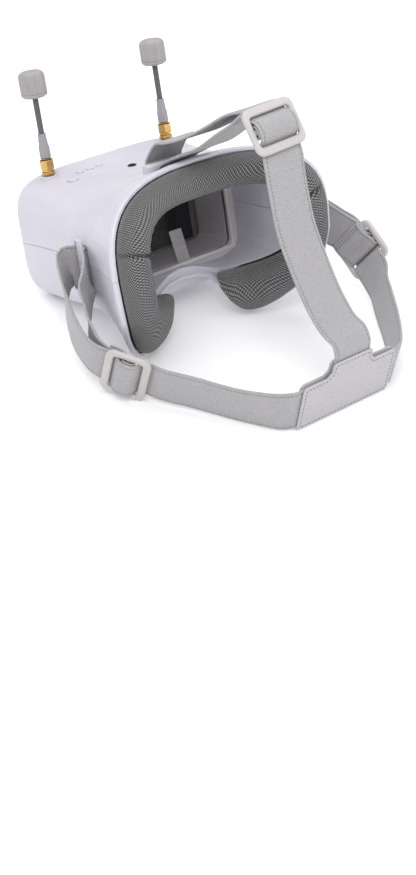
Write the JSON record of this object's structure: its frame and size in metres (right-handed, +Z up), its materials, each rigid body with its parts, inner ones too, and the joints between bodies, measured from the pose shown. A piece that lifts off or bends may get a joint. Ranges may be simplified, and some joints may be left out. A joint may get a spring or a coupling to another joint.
{
  "type": "fpv goggles",
  "caption": "Boxy first-person-view headset with twin round-capped antennas, a padded face rim, flat lens and a three-way elastic head strap.",
  "frame": {"origin": "centre of the footprint of the goggles and their strap, on the table", "axes": "+Z up from the table; +Y the way the wearer looks; +X the wearer's right"},
  "size_m": [0.2052, 0.239, 0.1725],
  "materials": {
    "shell_white": "fine satin moulding",
    "frame_white": "matt moulding",
    "pad_mesh": "coarse woven mesh over foam",
    "hook_black": "hook and loop tape",
    "lens_clear": "clear moulded lens sheet",
    "screen_black": "polished screen",
    "steel": "plain",
    "board_green": "solder mask",
    "tinned_can": "tinned sheet",
    "battery_pouch": "foil pouch",
    "ribbon_amber": "film",
    "coax_black": "plain",
    "socket_black": "plain",
    "key_white": "satin",
    "gold_plate": "gold plated, satin",
    "sleeve_grey": "shrink tubing",
    "rod_grey": "braid under tubing",
    "cap_grey": "satin moulding",
    "webbing_grey": "elastic webbing",
    "buckle_grey": "satin moulding",
    "leather_grey": "grained, stitched round the edge"
  },
  "bodies": {
    "goggles": {"upper_shell": "shell_white", "lower_shell": "shell_white", "lens_frame": "frame_white", "screen_hood": "frame_white", "face_pad": "pad_mesh", "pad_backing": "hook_black", "fresnel_lens": "lens_clear", "lcd_panel": "screen_black", "lcd_backlight": "steel", "usb_socket": "steel", "case_screw_1": "steel", "case_screw_2": "steel", "case_screw_3": "steel", "case_screw_4": "steel", "main_pcb": "board_green", "io_board": "board_green", "key_board_left": "board_green", "key_board_right": "board_green", "receiver_left": "tinned_can", "receiver_right": "tinned_can", "battery": "battery_pouch", "lcd_ribbon": "ribbon_amber", "coax_left": "coax_black", "coax_right": "coax_black", "av_jack": "socket_black", "sma_jack_left": "gold_plate", "sma_jack_right": "gold_plate", "jack_nut_left": "gold_plate", "jack_nut_right": "gold_plate", "strap_left": "webbing_grey", "strap_right": "webbing_grey", "strap_top": "webbing_grey", "buckle_left": "buckle_grey", "buckle_right": "buckle_grey", "buckle_top": "buckle_grey", "patch_outer": "leather_grey", "patch_inner": "leather_grey"},
    "antenna_left": {"antenna_ferrule_left": "gold_plate", "antenna_sleeve_left": "sleeve_grey", "antenna_rod_left": "rod_grey", "antenna_cap_base_left": "cap_grey", "antenna_cap_left": "cap_grey"},
    "antenna_nut_left": {"antenna_nut_left": "gold_plate"},
    "antenna_right": {"antenna_ferrule_right": "gold_plate", "antenna_sleeve_right": "sleeve_grey", "antenna_rod_right": "rod_grey", "antenna_cap_base_right": "cap_grey", "antenna_cap_right": "cap_grey"},
    "antenna_nut_right": {"antenna_nut_right": "gold_plate"},
    "button_power": {"button_power": "key_white"},
    "button_band": {"button_band": "key_white"},
    "button_channel": {"button_channel": "key_white"},
    "button_search": {"button_search": "key_white"},
    "button_menu": {"button_menu": "key_white"},
    "button_up": {"button_up": "key_white"},
    "button_down": {"button_down": "key_white"}
  },
  "joints": [
    {"name": "antenna_turn_left", "type": "hinge", "parent": "goggles", "child": "antenna_left", "pos_m": [-0.05459, 0.09663, 0.08825], "axis": [0, 0.2957, 0.9553], "continuous": true},
    {"name": "nut_turn_left", "type": "hinge", "parent": "goggles", "child": "antenna_nut_left", "pos_m": [-0.05459, 0.09515, 0.08347], "axis": [0, 0.2957, 0.9553], "continuous": true},
    {"name": "antenna_turn_right", "type": "hinge", "parent": "goggles", "child": "antenna_right", "pos_m": [0.03541, 0.09663, 0.08825], "axis": [0, 0.2957, 0.9553], "continuous": true},
    {"name": "nut_turn_right", "type": "hinge", "parent": "goggles", "child": "antenna_nut_right", "pos_m": [0.03541, 0.09515, 0.08347], "axis": [0, 0.2957, 0.9553], "continuous": true},
    {"name": "button_power_press", "type": "slide", "parent": "goggles", "child": "button_power", "axis": [0, -0.2957, -0.9553], "range_m": [0, 0.0005], "stiffness_N_per_m": 1200, "springref_m": -0.0003},
    {"name": "button_band_press", "type": "slide", "parent": "goggles", "child": "button_band", "axis": [0, -0.2957, -0.9553], "range_m": [0, 0.0005], "stiffness_N_per_m": 1200, "springref_m": -0.0003},
    {"name": "button_channel_press", "type": "slide", "parent": "goggles", "child": "button_channel", "axis": [0, -0.2957, -0.9553], "range_m": [0, 0.0005], "stiffness_N_per_m": 1200, "springref_m": -0.0003},
    {"name": "button_search_press", "type": "slide", "parent": "goggles", "child": "button_search", "axis": [0, -0.2957, -0.9553], "range_m": [0, 0.0005], "stiffness_N_per_m": 1200, "springref_m": -0.0003},
    {"name": "button_menu_press", "type": "slide", "parent": "goggles", "child": "button_menu", "axis": [0, -0.2957, -0.9553], "range_m": [0, 0.0005], "stiffness_N_per_m": 1200, "springref_m": -0.0003},
    {"name": "button_up_press", "type": "slide", "parent": "goggles", "child": "button_up", "axis": [0, -0.2957, -0.9553], "range_m": [0, 0.0005], "stiffness_N_per_m": 1200, "springref_m": -0.0003},
    {"name": "button_down_press", "type": "slide", "parent": "goggles", "child": "button_down", "axis": [0, -0.2957, -0.9553], "range_m": [0, 0.0005], "stiffness_N_per_m": 1200, "springref_m": -0.0003}
  ]
}
